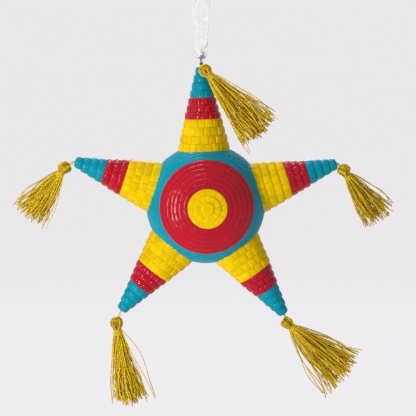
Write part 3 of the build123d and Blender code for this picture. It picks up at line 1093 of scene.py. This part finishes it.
def seen_directly(tree):
    """1 for rays that show the background: the camera's, and those through gloss or glass."""
    path = tree.nodes.new("ShaderNodeLightPath")
    out = path.outputs["Is Camera Ray"]
    for kind in ("Is Glossy Ray", "Is Transmission Ray"):
        both = tree.nodes.new("ShaderNodeMath")
        both.operation = "MAXIMUM"
        tree.links.new(out, both.inputs[0])
        tree.links.new(path.outputs[kind], both.inputs[1])
        out = both.outputs[0]
    return out


def floor():
    """A pale floor that keeps shadows, and that isn't there when seen from below."""
    level = cad_low.z - FLOOR_DROP
    corners = [(x * FLOOR_SIZE, y * FLOOR_SIZE, level)
               for x, y in ((-1, -1), (1, -1), (1, 1), (-1, 1))]
    mesh = bpy.data.meshes.new("floor")
    mesh.from_pydata(corners, [], [(0, 1, 2, 3)])
    made = bpy.data.objects.new("floor", mesh)
    bpy.context.scene.collection.objects.link(made)
    n = Nodes("pale_floor")
    n.set(Base_Color=BACKGROUND, Roughness=0.95, Specular_IOR_Level=0.0)
    glow = n.add("ShaderNodeEmission")
    glow.inputs["Color"].default_value = BACKGROUND
    share = n.math("MULTIPLY", seen_directly(n.tree), PALE_SHARE)
    mix = n.add("ShaderNodeMixShader")
    n.link(share, mix.inputs["Fac"])
    n.link(n.shader.outputs[0], mix.inputs[1])
    n.link(glow.outputs[0], mix.inputs[2])
    below = n.add("ShaderNodeMixShader")
    n.link(n.add("ShaderNodeNewGeometry").outputs["Backfacing"], below.inputs["Fac"])
    n.link(mix.outputs[0], below.inputs[1])
    n.link(n.add("ShaderNodeBsdfTransparent").outputs[0], below.inputs[2])
    n.link(below.outputs[0], n.tree.nodes["Material Output"].inputs["Surface"])
    mesh.materials.append(n.material)


def world():
    """Soft even light. The background that shows meets the far floor's colour at the horizon."""
    made = bpy.data.worlds.new("studio")
    bpy.context.scene.world = made
    made.use_nodes = True
    tree = made.node_tree
    tree.nodes.clear()
    new, link = tree.nodes.new, tree.links.new
    light = new("ShaderNodeBackground")
    light.inputs["Color"].default_value = (0.97, 0.98, 1.0, 1)
    light.inputs["Strength"].default_value = AMBIENT
    height = new("ShaderNodeSeparateXYZ")
    link(new("ShaderNodeTexCoord").outputs["Generated"], height.inputs[0])
    ramp = new("ShaderNodeValToRGB")
    far_floor = PALE_SHARE + (1 - PALE_SHARE) * AMBIENT
    low_end, high_end = ramp.color_ramp.elements
    low_end.position, low_end.color = 0.0, shade(BACKGROUND, far_floor)
    high_end.position, high_end.color = 0.3, BACKGROUND
    link(height.outputs["Z"], ramp.inputs["Fac"])
    seen = new("ShaderNodeBackground")
    link(ramp.outputs["Color"], seen.inputs["Color"])
    mix = new("ShaderNodeMixShader")
    link(seen_directly(tree), mix.inputs["Fac"])
    link(light.outputs[0], mix.inputs[1])
    link(seen.outputs[0], mix.inputs[2])
    link(mix.outputs[0], new("ShaderNodeOutputWorld").inputs["Surface"])


def softbox(name, direction, distance, size, power, colour=(1, 1, 1)):
    """A rectangular lamp of that size and power, that way from the ball and facing it."""
    lamp = bpy.data.lights.new(name, "AREA")
    lamp.shape = "RECTANGLE"
    lamp.size, lamp.size_y = size
    lamp.energy = power
    lamp.color = colour
    made = bpy.data.objects.new(name, lamp)
    way = Vector(direction).normalized()
    made.location = Vector(ball_centre) + way * distance
    made.rotation_euler = way.to_track_quat("Z", "Y").to_euler()
    made.visible_camera = False
    bpy.context.scene.collection.objects.link(made)


def camera():
    """At the photographed angle, a little above the middle and to the left of straight on."""
    azimuth, elevation = math.radians(-2.0), math.radians(5.6)
    back = Vector((math.sin(azimuth) * math.cos(elevation),
                   -math.cos(azimuth) * math.cos(elevation), math.sin(elevation)))
    lens = bpy.data.cameras.new("camera")
    lens.sensor_width = SENSOR
    lens.lens = SENSOR * CAMERA_DISTANCE / PICTURE_WIDTH
    lens.clip_start = CLIP_START
    made = bpy.data.objects.new("camera", lens)
    right = Vector((math.cos(azimuth), math.sin(azimuth), 0))
    aim = Vector(ball_centre) + right * AIM_RIGHT + back.cross(right) * AIM_UP
    made.location = aim + back * CAMERA_DISTANCE
    made.rotation_euler = back.to_track_quat("Z", "Y").to_euler()
    bpy.context.scene.collection.objects.link(made)
    bpy.context.scene.camera = made


floor()
world()
softbox("key_light", (-0.6, -0.79, -0.24), 0.45, (0.032, 0.42), 2.05, (1.0, 0.99, 0.97))
softbox("top_light", (-0.18, 0.18, 1.0), 0.5, (0.25, 0.12), 1.0)
softbox("back_light", (0.03, 0.9, 0.45), 0.8, (0.3, 0.3), 1.7)
camera()

bpy.context.scene.view_settings.view_transform = "Standard"
